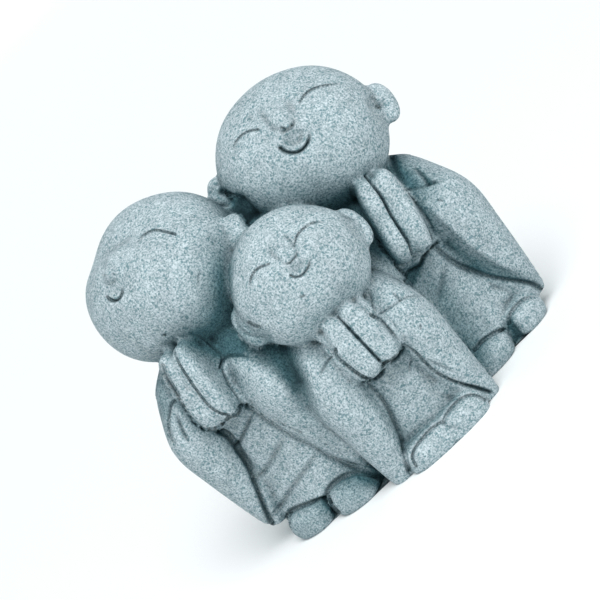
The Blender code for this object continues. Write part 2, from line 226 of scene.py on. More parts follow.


# The carving, in view units to the right of and above the middle of the front view. A cut's shade is painted
# shade, or painted light below zero, and a cut of no depth is painted and not carved.
RIGHT_MONK_CUTS = {
    "left_eye": Cut(((54, 155), (62, 159), (71, 160), (79, 158), (87, 153)), 0.29, 0.70, 0.1, 1.0),
    "right_eye": Cut(
        ((136, 144), (145, 146), (154, 145), (164, 140), (171, 135), (178, 130)),
        0.29, 0.75, 0.7, 0.3),
    "smile": Cut(
        ((90, 124), (92, 117), (97, 111), (103, 108), (110, 108), (118, 111), (123, 117)),
        0.50, 1.35, 1.0, 0.0),
    "lip": Cut(((97, 120), (107, 115), (117, 119)), 1.50, 0.60, 1.0, 0.8),
    "nose_foot": Cut(((100, 137), (104, 133), (111, 131), (117, 132), (121, 136)), 0.50, 0.80),
    "nose_left": Cut(((101, 166), (99, 155), (98, 145), (101, 137)), 0.85, 0.70, 0.1, 0.5),
    "nose_right": Cut(((126, 156), (127, 147), (124, 138)), 1.00, 0.70),
    "nostril_left": Cut(((105, 138), (107, 134)), 0.34, 0.70, 1.0, 1.0),
    "nostril_right": Cut(((114, 134), (117, 132)), 0.35, 0.35, 1.0, 1.0),
    "brow_left": Cut(((88, 172), (92, 163), (95, 154)), 1.80, 0.25),
    "ear_hollow": Cut(((191, 96), (189, 91), (192, 86), (197, 87)), 1.10, 0.95, 0.8, 0.6),
    "ear_back": Cut(((190, 108), (186, 97), (184, 84), (184, 70)), 0.90, 0.35),
    "far_ear_hollow": Cut(((17, 133), (19, 127), (20, 120)), 0.75, 1.60, 1.0, 0.8),
    "far_ear_rim": Cut(((8, 138), (15, 141), (23, 139)), 0.50, 0.30),
    "hands_split": Cut(
        ((133, 45), (132, 33), (130, 18), (125, 0), (121, -20), (118, -34), (112, -46)),
        0.28, 1.20, 0.7, 0.5),
    "hands_left": Cut(((98, -4), (95, -18), (94, -34), (94, -54)), 0.36, 1.20, 0.4, 1.0),
    "hands_right": Cut(((152, 4), (151, -10), (148, -28), (144, -42)), 0.40, 0.60, 0.2, 0.6),
    "hands_foot": Cut(
        ((92, -58), (98, -54), (105, -56), (112, -57), (119, -54), (128, -52), (139, -53)),
        0.50, 1.10, 0.8, 0.9),
    "hands_shade": Cut(((91, -64), (97, -59), (106, -57)), 1.30, 0.90, 1.0, 0.6, shade=0.5),
    "neck": Cut(((156, 14), (158, 25), (162, 34), (167, 43)), 0.80, 1.00, 0.5, 0.8),
    "cuff": Cut(((187, -12), (175, -7), (165, -2), (152, 6)), 0.40, 0.35, 0.2, 0.9, 0.45, 5.0),
    "shoulder_dent": Cut(((174, 16), (175, 6), (173, -4)), 0.55, 0.80, 0.4, 1.0),
    "shoulder_nick": Cut(((175, -5), (181, -8)), 0.50, 0.50, 1.0, 0.4),
    "sleeve_edge": Cut(
        ((136, -56), (137, -68), (141, -84), (147, -99), (153, -112), (163, -126), (174, -139), (181, -149),
         (184, -161)),
        0.62, 1.00, 0.8, 1.0, 0.40, 4.0),
    "sleeve_inside": Cut(
        ((145, -62), (149, -86), (158, -107), (169, -126), (180, -145)),
        2.40, 0.55, 1.0, 0.5, shade=0.50),
    "sleeve_ridge": Cut(
        ((157, -8), (159, -40), (163, -80), (169, -108), (177, -130), (187, -150)),
        1.10, -0.55),
    "robe_fold": Cut(((95, -97), (105, -92), (120, -82), (134, -74)), 0.80, 0.60),
    "sleeve_pit": Cut(((169, -23), (171, -26)), 0.32, 0.35, 1.0, 1.0),
    "hem_left": Cut(
        ((92, -155), (97, -155), (103, -154), (111, -155), (120, -157), (128, -161)),
        0.42, 0.90, 0.9, 1.0, 0.40, 3.0),
    "hem_right": Cut(
        ((134, -161), (139, -156), (147, -153), (157, -152), (166, -154), (173, -160)),
        0.42, 0.70, 1.0, 0.3, 0.40, 3.0),
    "feet_split": Cut(((134, -161), (134, -170), (131, -180)), 1.30, 0.80, 1.0, 1.0, shade=0.60),
    "robe_shade": Cut(((106, -68), (107, -92), (103, -115), (100, -140)), 5.00, 0.0, 0.6, 0.8, shade=0.48),
    "feet_shade": Cut(((92, -170), (108, -182), (122, -184)), 3.50, 0.0, 1.0, 1.0, shade=0.30),
    "shoulder_shade": Cut(((160, 30), (166, 12), (174, -2)), 4.80, 0.0, 1.0, 0.8, shade=0.60),
    "robe_fill": Cut(((149, -131), (156, -141), (163, -149)), 1.50, -0.70, 0.6, 0.6),
    "gap_shade": Cut(((22, 112), (22, 100), (22, 90)), 2.00, 2.00, 1.0, 1.0, shade=1.00),
}
LEFT_MONK_CUTS = {
    "eye": Cut(
        ((-78, 154), (-69, 155), (-61, 153), (-55, 149), (-50, 142), (-45, 134)),
        0.30, 0.90, 0.1, 1.0),
    "smile": Cut(
        ((-138, 135), (-138, 130), (-134, 126), (-128, 126), (-123, 129), (-120, 133)),
        0.34, 0.80, 1.0, 0.0),
    "smile_corner": Cut(((-138, 132), (-136, 128)), 0.42, 0.60, 1.0, 0.8),
    "lip": Cut(((-132, 132), (-128, 131)), 0.80, 0.25, 1.0, 0.8),
    "nostril_far": Cut(((-126, 154), (-124, 151)), 0.40, 0.30, 1.0, 1.0),
    "nostril_near": Cut(((-118, 147), (-116, 145)), 0.40, 0.30, 1.0, 1.0),
    "ear_front": Cut(((-18, 112), (-21, 103), (-20, 95)), 1.40, 0.40),
    "pit": Cut(((-123, 68), (-122, 67)), 0.26, 0.70, 1.0, 1.0),
    "scratch": Cut(((-52, 90), (-58, 86), (-63, 79)), 0.35, 0.25),
    "hands_split": Cut(
        ((-127, 49), (-131, 40), (-134, 28), (-137, 10), (-139, -6), (-139, -18), (-136, -28), (-131, -35)),
        0.30, 1.30, 0.6, 1.0),
    "hands_left": Cut(
        ((-145, 48), (-150, 34), (-153, 20), (-157, 6), (-160, -8), (-160, -20), (-157, -30), (-150, -36)),
        0.42, 1.20, 0.6, 1.0),
    "hands_right": Cut(
        ((-103, 50), (-97, 38), (-95, 24), (-96, 12), (-103, 5), (-108, -8), (-111, -22), (-113, -34)),
        0.36, 0.50, 0.3, 0.8),
    "hands_foot": Cut(
        ((-152, -37), (-143, -38), (-133, -37), (-124, -40), (-116, -37), (-111, -39)),
        0.60, 1.20, 1.0, 0.8),
    "neck": Cut(((-148, 46), (-156, 32), (-158, 18)), 1.00, 1.00, 0.6, 0.8),
    "sleeve_back": Cut(
        ((-76, 6), (-67, -10), (-60, -28), (-58, -50), (-66, -80)),
        2.80, 1.10, 0.9, 0.2, shade=0.25),
    "cuff_left": Cut(
        ((-156, 12), (-165, 12), (-174, 6), (-183, -2), (-191, -11)),
        0.45, 0.70, 0.9, 0.3, 0.40, 4.0),
    "sleeve_fold_near": Cut(((-168, 2), (-174, -12), (-179, -28)), 0.50, 0.75),
    "sleeve_fold_far": Cut(((-180, 2), (-187, -9), (-191, -20)), 0.50, 0.70),
    "left_sleeve_edge": Cut(
        ((-176, -144), (-169, -126), (-161, -107), (-153, -87), (-149, -66), (-147, -50), (-150, -39)),
        0.75, 1.40, 1.0, 1.0, 0.40, 4.0),
    "right_sleeve_top": Cut(((-76, -6), (-84, 3), (-94, 9), (-104, 5)), 0.40, 0.50, 0.3, 0.8, 0.45, 4.0),
    "right_sleeve_edge": Cut(
        ((-112, -38), (-108, -58), (-103, -78), (-98, -96), (-92, -112), (-87, -130), (-80, -150),
         (-70, -168), (-62, -186)),
        0.50, 0.48, 1.0, 1.0, 0.45, 4.0),
    "drape_high": Cut(((-147, -63), (-135, -58), (-122, -53), (-113, -48)), 0.62, 0.70, 1.0, 0.4),
    "drape_middle": Cut(((-158, -100), (-142, -99), (-122, -94), (-104, -88)), 0.75, 0.70, 0.9, 0.3),
    "drape_low": Cut(
        ((-168, -138), (-150, -135), (-130, -130), (-105, -126), (-90, -122)),
        0.75, 0.70, 0.8, 0.3),
    "hem_left": Cut(
        ((-165, -160), (-161, -150), (-153, -146), (-144, -148), (-132, -153), (-120, -158)),
        0.50, 0.90, 0.5, 1.0, 0.40, 3.0),
    "hem_right": Cut(
        ((-119, -167), (-115, -159), (-105, -155), (-92, -156), (-80, -161), (-72, -169), (-64, -181)),
        0.55, 0.90, 1.0, 1.0, 0.40, 3.0),
    "feet_split": Cut(((-119, -160), (-120, -170), (-120, -181)), 0.60, 1.40, 1.0, 1.0),
    "nose_foot": Cut(((-130, 144), (-125, 141), (-119, 141)), 0.45, 0.22),
    "nose_side": Cut(((-113, 160), (-112, 152), (-114, 145)), 0.90, 0.30),
    "recess_shade": Cut(
        ((-70, 22), (-56, 0), (-47, -24), (-52, -48), (-66, -82), (-72, -115)),
        4.00, 0.0, 0.9, 0.3, shade=0.55),
    "chin_shade": Cut(
        ((-98, 50), (-80, 48), (-60, 56), (-42, 72), (-26, 94)),
        6.60, 0.0, 0.9, 0.5, shade=0.60),
    "chest_shade": Cut(((-92, 20), (-86, 14), (-80, 8)), 2.40, 0.0, 1.0, 1.0, shade=0.70),
    "neck_shade": Cut(((-160, 38), (-172, 20), (-186, 4)), 3.20, 0.0, 1.0, 0.6, shade=0.55),
    "foot_shade_left": Cut(((-158, -168), (-140, -170), (-126, -172)), 4.00, 0.0, 1.0, 1.0, shade=0.38),
    "foot_shade_right": Cut(
        ((-104, -178), (-88, -172), (-74, -180), (-66, -188)),
        4.00, 0.0, 0.6, 1.0, shade=0.55),
}
CHILD_CUTS = {
    "robe_fill": Cut(((43, -158), (46, -168), (50, -178)), 1.30, -0.70, 0.6, 0.6),
    "left_eye": Cut(((-28, 44), (-22, 49), (-15, 52), (-8, 52), (2, 48)), 0.29, 0.72, 0.3, 0.8),
    "right_eye": Cut(((34, 44), (42, 49), (50, 50), (58, 49), (65, 46), (71, 41)), 0.29, 0.72, 0.7, 0.3),
    "smile": Cut(((10, 24), (12, 20), (17, 17), (24, 17), (31, 19), (36, 23)), 0.34, 0.65, 1.0, 0.2),
    "lip": Cut(((16, 24), (22, 23), (28, 24)), 1.10, 0.35, 1.0, 0.8),
    "nose_foot": Cut(((12, 38), (17, 34), (23, 34), (29, 35), (32, 39)), 0.42, 0.62),
    "nose_left": Cut(((12, 58), (11, 49), (13, 41)), 0.50, 0.40),
    "nose_right": Cut(((33, 60), (34, 50), (32, 41)), 0.50, 0.45, 0.2, 0.6),
    "pit": Cut(((3, 1), (6, 0)), 0.35, 0.45, 1.0, 1.0),
    "sleeve_pit": Cut(((68, -104), (70, -102)), 0.32, 0.40, 1.0, 1.0),
    "left_ear_slit": Cut(((-53, 19), (-51, 13), (-48, 7)), 0.40, 0.80, 1.0, 0.5),
    "right_ear_back": Cut(((86, 32), (87, 18), (86, 4)), 0.90, 0.25),
    "hands_split": Cut(((16, -38), (16, -55), (16, -80), (16, -101)), 0.28, 1.20, 0.5, 1.0),
    "hands_left": Cut(((-9, -60), (-12, -68), (-11, -82), (-9, -95), (-6, -104)), 0.38, 1.30, 0.8, 1.0),
    "hands_right": Cut(((42, -60), (45, -70), (45, -84), (44, -97)), 0.42, 1.00, 0.9, 0.3),
    "hands_foot": Cut(
        ((-6, -105), (1, -109), (10, -109), (17, -105), (24, -107), (33, -108), (41, -106)),
        0.45, 1.10, 1.0, 0.7),
    "collar_left": Cut(((-23, -37), (-17, -43), (-14, -52), (-13, -62)), 0.38, 0.42, 0.4, 1.0),
    "collar_right": Cut(((57, -40), (51, -51), (47, -60), (43, -67)), 0.40, 0.42, 0.4, 1.0),
    "cuff_left": Cut(((-14, -64), (-21, -64), (-29, -66), (-39, -69)), 0.35, 0.35, 0.9, 0.2, 0.40, 4.0),
    "cuff_right": Cut(
        ((90, -80), (82, -73), (73, -70), (60, -68), (48, -66)),
        0.35, 0.30, 0.3, 0.8, 0.40, 4.0),
    "sleeve_nick": Cut(((73, -60), (73, -69)), 0.35, 0.50, 0.7, 1.0),
    "left_sleeve_edge": Cut(
        ((-39, -198), (-33, -186), (-22, -169), (-17, -156), (-12, -141), (-9, -126), (-9, -110)),
        0.60, 0.80, 1.0, 0.6, 0.35, 4.0),
    "right_sleeve_edge": Cut(
        ((45, -104), (48, -117), (48, -131), (49, -145), (53, -158), (60, -172), (68, -184), (75, -197)),
        0.45, 1.00, 0.4, 1.0, 0.40, 4.0),
    "right_sleeve_fold": Cut(((50, -128), (56, -143), (63, -159)), 0.50, 0.35),
    "robe_nick": Cut(((30, -127), (35, -123), (40, -119)), 0.32, 0.35),
    "hem_left": Cut(
        ((-31, -201), (-27, -191), (-19, -186), (-8, -184), (5, -183), (18, -185)),
        0.32, 0.70, 0.8, 0.9, 0.35, 3.0),
    "hem_right": Cut(
        ((20, -186), (28, -183), (40, -181), (50, -182), (59, -186), (64, -193), (66, -200)),
        0.32, 0.65, 0.8, 0.9, 0.35, 3.0),
    "feet_split": Cut(((19, -186), (21, -195), (27, -203)), 0.60, 0.35, 1.0, 0.5),
    "left_ear_rim": Cut(((-55, 35), (-61, 28), (-63, 18), (-60, 8), (-54, 0)), 0.40, 0.40, 0.6, 0.4),
    "right_ear_rim": Cut(((90, 30), (94, 22), (95, 12), (92, 2)), 0.45, 0.35, 0.6, 0.4),
    "chin_shade": Cut(((-16, -24), (17, -29), (50, -22)), 2.80, 0.0, 0.6, 0.6, shade=0.32),
    "collar_light": Cut(((-12, -40), (16, -42), (44, -40)), 1.60, 0.0, 0.9, 0.9, shade=-0.40),
    "robe_light": Cut(((16, -128), (16, -146), (16, -166)), 4.50, 0.0, 0.7, 0.7, shade=-0.22),
}
# The plain folds of the two robes behind, on the same view from straight behind.
BACK_CUTS = {
    "left_collar": Cut(((70, 4), (95, -9), (125, -13), (155, -7), (182, 8)), 0.50, 0.70, 0.5, 0.5, 0.45, 3.0),
    "left_inner_seam": Cut(
        ((58, -12), (50, -60), (46, -120), (45, -180), (47, -226)),
        0.90, 1.00, 0.4, 0.8, 0.30, 4.0),
    "left_outer_seam": Cut(
        ((186, -208), (190, -150), (188, -90), (182, -40), (172, -10)),
        0.90, 1.00, 0.8, 0.4, 0.30, 4.0),
    "left_fold_inner": Cut(((92, -58), (86, -110), (78, -170), (74, -228)), 1.30, 0.95, 0.2, 0.8),
    "left_fold_middle": Cut(((118, -34), (119, -90), (116, -160), (112, -230)), 1.50, 1.00, 0.1, 0.9),
    "left_fold_outer": Cut(((146, -62), (150, -115), (153, -175), (152, -226)), 1.30, 0.90, 0.2, 0.8),
    "right_collar": Cut(
        ((-184, 6), (-158, -8), (-128, -14), (-98, -10), (-72, 3)),
        0.50, 0.70, 0.5, 0.5, 0.45, 3.0),
    "right_outer_seam": Cut(
        ((-176, -10), (-186, -40), (-192, -90), (-193, -150), (-189, -206)),
        0.90, 1.00, 0.4, 0.8, 0.30, 4.0),
    "right_inner_seam": Cut(
        ((-44, -226), (-42, -180), (-43, -120), (-48, -60), (-58, -12)),
        0.90, 1.00, 0.8, 0.4, 0.30, 4.0),
    "right_fold_outer": Cut(((-150, -48), (-154, -105), (-158, -170), (-158, -226)), 1.40, 0.95, 0.2, 0.8),
    "right_fold_middle": Cut(((-120, -66), (-118, -120), (-120, -175), (-124, -230)), 1.30, 0.90, 0.1, 0.9),
    "right_fold_inner": Cut(((-92, -40), (-86, -100), (-80, -165), (-78, -228)), 1.30, 0.95, 0.2, 0.8),
    "middle_split": Cut(((3, 28), (4, -40), (2, -120), (4, -222)), 0.90, 1.20, 0.6, 1.0),
}
# Each group of cuts with the side it is seen from: one for the front, minus one for the back.
VIEWS = (
    (1.0, (*RIGHT_MONK_CUTS.values(), *LEFT_MONK_CUTS.values(), *CHILD_CUTS.values())),
    (-1.0, tuple(BACK_CUTS.values())),
)


def turned(turn=0.0, lift=0.0, lean=0.0):
    """A rotation: turned about the upright, leaned sideways, then lifted to look up (degrees)."""
    upright = Matrix.Rotation(math.radians(turn), 4, "Z")
    sideways = Matrix.Rotation(math.radians(lean), 4, "Y")
    nod = Matrix.Rotation(math.radians(-lift), 4, "X")
    return upright @ sideways @ nod


def curve_rows(rows, count):
    """Sections in between the given ones, on a smooth curve through all of them."""
    rows = np.array(rows, dtype=float)
    padded = np.vstack([2.0 * rows[0] - rows[1], rows, 2.0 * rows[-1] - rows[-2]])
    result = []
    for step in np.linspace(0.0, len(rows) - 1.000001, count):
        index = int(step)
        t = step - index
        a, b, c, d = padded[index:index + 4]
        square, cube = 2 * a - 5 * b + 4 * c - d, 3 * b - a - 3 * c + d
        result.append(0.5 * (2 * b + (c - a) * t + square * t ** 2 + cube * t ** 3))
    return np.array(result)


def ramp(values, low, high):
    """Values turned into a share, from 0 at low to 1 at high."""
    return np.clip((values - low) / (high - low), 0.0, 1.0)


def deselect():
    """Nothing selected and no edit mode, so that the next operator acts on its own piece alone."""
    if bpy.context.object and bpy.context.object.mode != "OBJECT":
        bpy.ops.object.mode_set(mode="OBJECT")
    bpy.ops.object.select_all(action="DESELECT")


def select_only(piece):
    """The piece alone selected and active."""
    deselect()
    piece.select_set(True)
    bpy.context.view_layer.objects.active = piece


def get_points(piece):
    """The piece's corners as rows of x, y, z."""
    points = np.empty(len(piece.data.vertices) * 3)
    piece.data.vertices.foreach_get("co", points)
    return points.reshape(-1, 3)


def set_points(piece, points):
    """Puts the corners back."""
    piece.data.vertices.foreach_set("co", np.ascontiguousarray(points).ravel())
    piece.data.update()


def get_normals(piece):
    """The outward direction at each of the piece's corners."""
    normals = np.empty(len(piece.data.vertices) * 3)
    piece.data.vertex_normals.foreach_get("vector", normals)
    return normals.reshape(-1, 3)


def placed(points, place):
    """Points moved and turned by a placing matrix."""
    matrix = np.array(place)
    return points @ matrix[:3, :3].T + matrix[:3, 3]


def ring_angles(count):
    """Evenly spaced angles round one ring."""
    return np.linspace(0.0, 2.0 * math.pi, count, endpoint=False)


def apply_modifier(piece, kind, **settings):
    """Adds a modifier with its settings and applies it."""
    modifier = piece.modifiers.new(kind.lower(), kind)
    for name, value in settings.items():
        setattr(modifier, name, value)
    bpy.context.view_layer.objects.active = piece
    bpy.ops.object.modifier_apply(modifier=modifier.name)


def make_ball(place, radii, fullness=2.0, taper=0.0):
    """A rounded body, fuller at its corners where fullness is over two, with one side sloping in to its top.

    The side that slopes is the one towards which taper points.
    """
    deselect()
    bpy.ops.mesh.primitive_uv_sphere_add(segments=48, ring_count=24, radius=1.0)
    piece = bpy.context.object
    points = get_points(piece)
    points /= (np.abs(points) ** fullness).sum(axis=1, keepdims=True) ** (1.0 / fullness)
    outer = points[:, 0] * taper > 0.0
    points[:, 0] *= 1.0 - outer * abs(taper) * np.maximum(points[:, 2], 0.0) ** 2
    set_points(piece, placed(points * np.array(radii), place))
    return piece


def make_stack(rings):
    """A closed body extruded ring by ring from a filled circle, each ring then pulled to its outline."""
    deselect()
    bpy.ops.mesh.primitive_circle_add(vertices=rings.shape[1], radius=0.01, fill_type="NGON")
    piece = bpy.context.object
    bpy.ops.object.mode_set(mode="EDIT")
    bpy.ops.mesh.select_all(action="SELECT")
    for level in range(1, len(rings)):
        bpy.ops.mesh.extrude_region_move(TRANSFORM_OT_translate={"value": (0.0, 0.0, 1.0)})
    bpy.ops.object.mode_set(mode="OBJECT")
    points = get_points(piece)
    level = np.rint(points[:, 2]).astype(int)
    angle = np.arctan2(points[:, 1], points[:, 0])
    side = np.rint(angle / (2.0 * math.pi) * rings.shape[1]).astype(int) % rings.shape[1]
    set_points(piece, rings[level, side])
    return piece


def make_robe(place, height, rows):
    """The body of a robe: a stack of ovals, flatter in front than behind."""
    angle = ring_angles(64)
    rings = []
    for level, wide, front, back in curve_rows(rows, 36):
        y = np.sin(angle) * np.where(np.sin(angle) > 0.0, back, front)
        ring = np.stack([wide * np.cos(angle), y, np.full_like(angle, level)], axis=1) * height
        rings.append(placed(ring, place))
    return make_stack(np.array(rings))


def make_sleeve(place, height, side, tip, spread, inner):
    """One wide sleeve: from the shoulder over the bent arm, hanging down to a tip.

    Its half towards the hands is wider by the share called inner.
    """
    angle = ring_angles(48)
    rows = curve_rows(SLEEVE_ROWS[::-1], 40)
    low, top = rows[0][0], rows[-1][0]
    rings = []
    for level, out, ahead, wide, deep in rows:
        z = tip + (top * height - tip) * (level - low) / (top - low)
        reach = np.where(np.cos(angle) * side < 0.0, inner, 1.0)
        x = side * spread * out + spread * wide * reach * np.cos(angle)
        y = -ahead + deep * np.sin(angle)
        ring = np.stack([x * height, y * height, np.full_like(angle, z)], axis=1)
        rings.append(placed(ring, place))
    return make_stack(np.array(rings))


def lobe_reach(way, middle, radii):
    """How far a ball off the centre reaches along each direction from the centre."""
    scaled = way / np.array(radii)
    offset = np.array(middle) / np.array(radii)
    square = (scaled ** 2).sum(axis=1)
    along = scaled @ offset
    return (along + np.sqrt(along ** 2 - square * (offset @ offset - 1.0))) / square


def make_head(place, skull, brow, forehead, crown, temples):
    """A bald round head, fuller at the cheeks, with a small nose."""
    deselect()
    bpy.ops.mesh.primitive_uv_sphere_add(segments=192, ring_count=128, radius=1.0)
    piece = bpy.context.object
    way = get_points(piece)
    way /= np.linalg.norm(way, axis=1, keepdims=True)
    cheek = (CHEEK_RADIUS, CHEEK_RADIUS, CHEEK_LENGTH)
    reaches = [lobe_reach(way, (0.0, 0.0, 0.0), (1.0, 1.0, 1.0))]
    for side in (-1.0, 1.0):
        reaches.append(lobe_reach(way, (side * CHEEK_OUT, -CHEEK_AHEAD, -CHEEK_DOWN), cheek))
    blended = (np.mean(np.array(reaches) ** LOBE_BLEND, axis=0)) ** (1.0 / LOBE_BLEND)
    across = np.degrees(np.arctan2(way[:, 0], -way[:, 1]))
    up = np.degrees(np.arcsin(np.clip(way[:, 2], -1.0, 1.0)))
    share = np.ones(len(way))
    forms = ((BROW, brow), (FOREHEAD, forehead), (NOSE, 1.0), (NOSE_RIDGE, 1.0), (MOUTH_HOLLOW, 1.0))
    for (middle, level, wide, high, height), strength in forms:
        share += strength * height * np.exp(-((across - middle) / wide) ** 2 - ((up - level) / high) ** 2)
    share += crown * np.exp(-((up - CROWN[0]) / CROWN[1]) ** 2)
    side, level, wide, high = TEMPLES
    share -= temples * np.exp(-((np.abs(across) - side) / wide) ** 2 - ((up - level) / high) ** 2)
    set_points(piece, placed(way * (blended * share * skull)[:, None], place))
    return piece


def make_monk(monk, height, skull):
    """All the rough masses of one monk, with a robe of this height and a skull of this radius."""
    stand = Matrix.Translation((*monk["stand"], 0.0)) @ turned(monk["turn"])
    masses = [make_robe(stand, height, ROBE_ROWS)]
    for side, (spread, inner) in zip((-1.0, 1.0), monk["sleeves"]):
        masses.append(make_sleeve(stand, height, side, monk["sleeve_tip"], spread, inner))
    for side, shares in zip((-1.0, 1.0), monk["feet"]):
        out, ahead, wide, long, high = (share * height for share in shares)
        foot = stand @ Matrix.Translation((side * out, -ahead, FOOT_LEVEL * height))
        masses.append(make_ball(foot @ turned(side * FOOT_SPLAY), (wide, long, high), monk["foot_fullness"]))
    hands = Matrix.Translation(monk["hands"]) @ turned(monk["hands_turn"], HANDS_LIFT, monk["hands_lean"])
    wide, deep, high = monk["hand_size"]
    behind, *chest_size = (share * high for share in monk["chest"])
    chest = hands @ Matrix.Translation((0.0, behind, 0.0))
    masses.append(make_ball(chest, chest_size, monk["chest_fullness"]))
    for side in (-1.0, 1.0):
        hand = hands @ Matrix.Translation((side * wide * HAND_OUT, 0.0, 0.0))
        masses.append(make_ball(hand, (wide * HAND_SWELL, deep, high), HAND_FULLNESS, side * monk["taper"]))
    head = Matrix.Translation(monk["head"]) @ turned(monk["head_turn"], monk["head_lift"], monk["head_lean"])
    masses.append(make_head(head, skull, monk["brow"], monk["forehead"], monk["crown"], monk["temples"]))
    for side, (inset, drop) in zip((-1.0, 1.0), monk["ears"]):
        out = skull * (CHEEK_OUT + CHEEK_RADIUS) - EAR_SUNK - inset
        ear = head @ Matrix.Translation((side * out, EAR_SET_BACK, -EAR_DROP - drop))
        masses.append(make_ball(ear @ turned(side * EAR_FLARE), EAR_SIZE, EAR_FULLNESS))
    return masses


def rough_out(sizes, stone):
    """The masses of all three monks and the join behind them, fused into one skin."""
    masses = []
    for name, monk in MONKS.items():
        masses.extend(make_monk(monk, getattr(sizes, name + "_robe"), getattr(sizes, name + "_skull")))
    masses.append(make_robe(Matrix.Translation((*JOIN_PLACE, 0.0)), JOIN_HEIGHT, JOIN_ROWS))
    deselect()
    for mass in masses:
        mass.select_set(True)
    bpy.context.view_layer.objects.active = masses[0]
    bpy.ops.object.mode_set(mode="EDIT")
    bpy.ops.mesh.select_all(action="SELECT")
    bpy.ops.mesh.normals_make_consistent(inside=False)
    bpy.ops.object.mode_set(mode="OBJECT")
    bpy.ops.object.join()
    piece = bpy.context.object
    piece.name = PIECE
    piece.data.name = PIECE
    bpy.ops.object.transform_apply(location=True, rotation=True, scale=True)
    # The skin swells and shrinks back by the same amount, which closes the narrowest crevices.
    for swell in (stone.fill, -stone.fill):
        apply_modifier(piece, "REMESH", mode="VOXEL", voxel_size=stone.voxel)
        apply_modifier(piece, "DISPLACE", direction="NORMAL", mid_level=0.0, strength=swell)
    apply_modifier(piece, "REMESH", mode="VOXEL", voxel_size=stone.voxel)
    apply_modifier(piece, "SMOOTH", factor=0.5, iterations=4)
    return piece


def view_place(points, facing):
    """Where points fall on the front or back view, in view units, and how far they are from the eye."""
    tilt = bpy.context.scene.monk_stage.elevation
    x, y, z = points[:, 0] * facing, points[:, 1] * facing, points[:, 2] - VIEW_HEIGHT
    depth = VIEW_DISTANCE + y * math.cos(tilt) - z * math.sin(tilt)
    scale = VIEW_DISTANCE / VIEW_UNIT / depth
    return np.stack([x * scale, (y * math.sin(tilt) + z * math.cos(tilt)) * scale], axis=1), depth


def seen_from(points, normals, facing):
    """Which points lie on the nearest surface of the front or back view, found cell by cell."""
    place, depth = view_place(points, facing)
    cell = np.floor(place / SIGHT_CELL).astype(int)
    cell -= cell.min(axis=0)
    key = cell[:, 0] * (cell[:, 1].max() + 1) + cell[:, 1]
    nearest = np.full(key.max() + 1, FAR_OFF)
    np.minimum.at(nearest, key, depth)
    tilt = bpy.context.scene.monk_stage.elevation
    toward = -facing * normals[:, 1] * math.cos(tilt) + normals[:, 2] * math.sin(tilt)
    return place, depth, (depth < nearest[key] + SIGHT_SPARE) & (toward > SIGHT_SLANT)


def smooth_path(points):
    """A smooth path through a few points, as closely spaced points."""
    rows = curve_rows(points, 400)
    length = np.concatenate([[0.0], np.cumsum(np.linalg.norm(np.diff(rows, axis=0), axis=1))])
    at = np.linspace(0.0, length[-1], max(8, int(length[-1] / PATH_STEP)))
    return np.stack([np.interp(at, length, rows[:, i]) for i in range(2)], axis=1)


def path_distance(place, path):
    """For each view point: distance to a path, nearest path point, and which side of its travel it is on."""
    best = np.full(len(place), FAR_OFF)
    nearest = np.zeros(len(place), dtype=int)
    for index, point in enumerate(path):
        away = ((place - point) ** 2).sum(axis=1)
        closer = away < best
        best[closer] = away[closer]
        nearest[closer] = index
    travel = np.gradient(path, axis=0)
    travel /= np.linalg.norm(travel, axis=1, keepdims=True)
    ahead = travel[nearest]
    away = place - path[nearest]
    side = ahead[:, 0] * away[:, 1] - ahead[:, 1] * away[:, 0]
    return np.sqrt(best), nearest, side


def find_cut(place, depth, seen, cut, reach):
    """The rows within reach of a cut, in millimetres, with their distance, place along it and side.

    Only stone of the cut's own surface counts, whose depth is read beside the path and smoothed along it.
    """
    path = smooth_path(cut.points)
    unit = VIEW_UNIT * 1000.0
    reach /= unit
    low, high = path.min(axis=0) - reach, path.max(axis=0) + reach
    rows = np.nonzero(seen & ((place >= low) & (place <= high)).all(axis=1))[0]
    distance, nearest, side = path_distance(place[rows], path)
    on_line = distance < LEVEL_REACH
    level = np.full(len(path), np.nan)
    for index in np.unique(nearest[on_line]):
        level[index] = np.percentile(depth[rows[on_line & (nearest == index)]], LEVEL_PERCENTILE)
    known = np.nonzero(~np.isnan(level))[0]
    spare = LEVEL_SPAN // 2
    level = np.interp(np.arange(-spare, len(path) + spare), known, level[known])
    level = np.convolve(level, np.full(LEVEL_SPAN, 1.0 / LEVEL_SPAN), "valid")
    keep = (distance < reach) & (np.abs(depth[rows] - level[nearest] - SURFACE_LEAN) < SAME_SURFACE)
    return rows[keep], distance[keep] * unit, nearest[keep] / (len(path) - 1), side[keep] * unit


def end_share(cut, along):
    """How strong a cut is along its length: less over the first and last quarter."""
    share = np.where(along < 0.25, cut.start + (1.0 - cut.start) * along / 0.25, 1.0)
    return np.where(along > 0.75, np.minimum(share, cut.end + (1.0 - cut.end) * (1.0 - along) / 0.25), share)


def refine_near_cuts(piece):
    """Divides the faces near the fine carved lines."""
    points = get_points(piece)
    close = np.zeros(len(points), dtype=bool)
    for facing, cuts in VIEWS:
        place, depth, seen = seen_from(points, get_normals(piece), facing)
        for cut in cuts:
            if cut.width < FINE_WIDTH and cut.depth:
                close[find_cut(place, depth, seen, cut, cut.width * 2.0 + 0.3)[0]] = True
    select_only(piece)
    bpy.ops.object.mode_set(mode="EDIT")
    bpy.ops.mesh.select_mode(type="VERT")
    bpy.ops.mesh.select_all(action="DESELECT")
    bpy.ops.object.mode_set(mode="OBJECT")
    piece.data.vertices.foreach_set("select", close)
    bpy.ops.object.mode_set(mode="EDIT")
    bpy.ops.mesh.select_mode(type="FACE")
    bpy.ops.mesh.subdivide(number_cuts=1)
    bpy.ops.object.mode_set(mode="OBJECT")


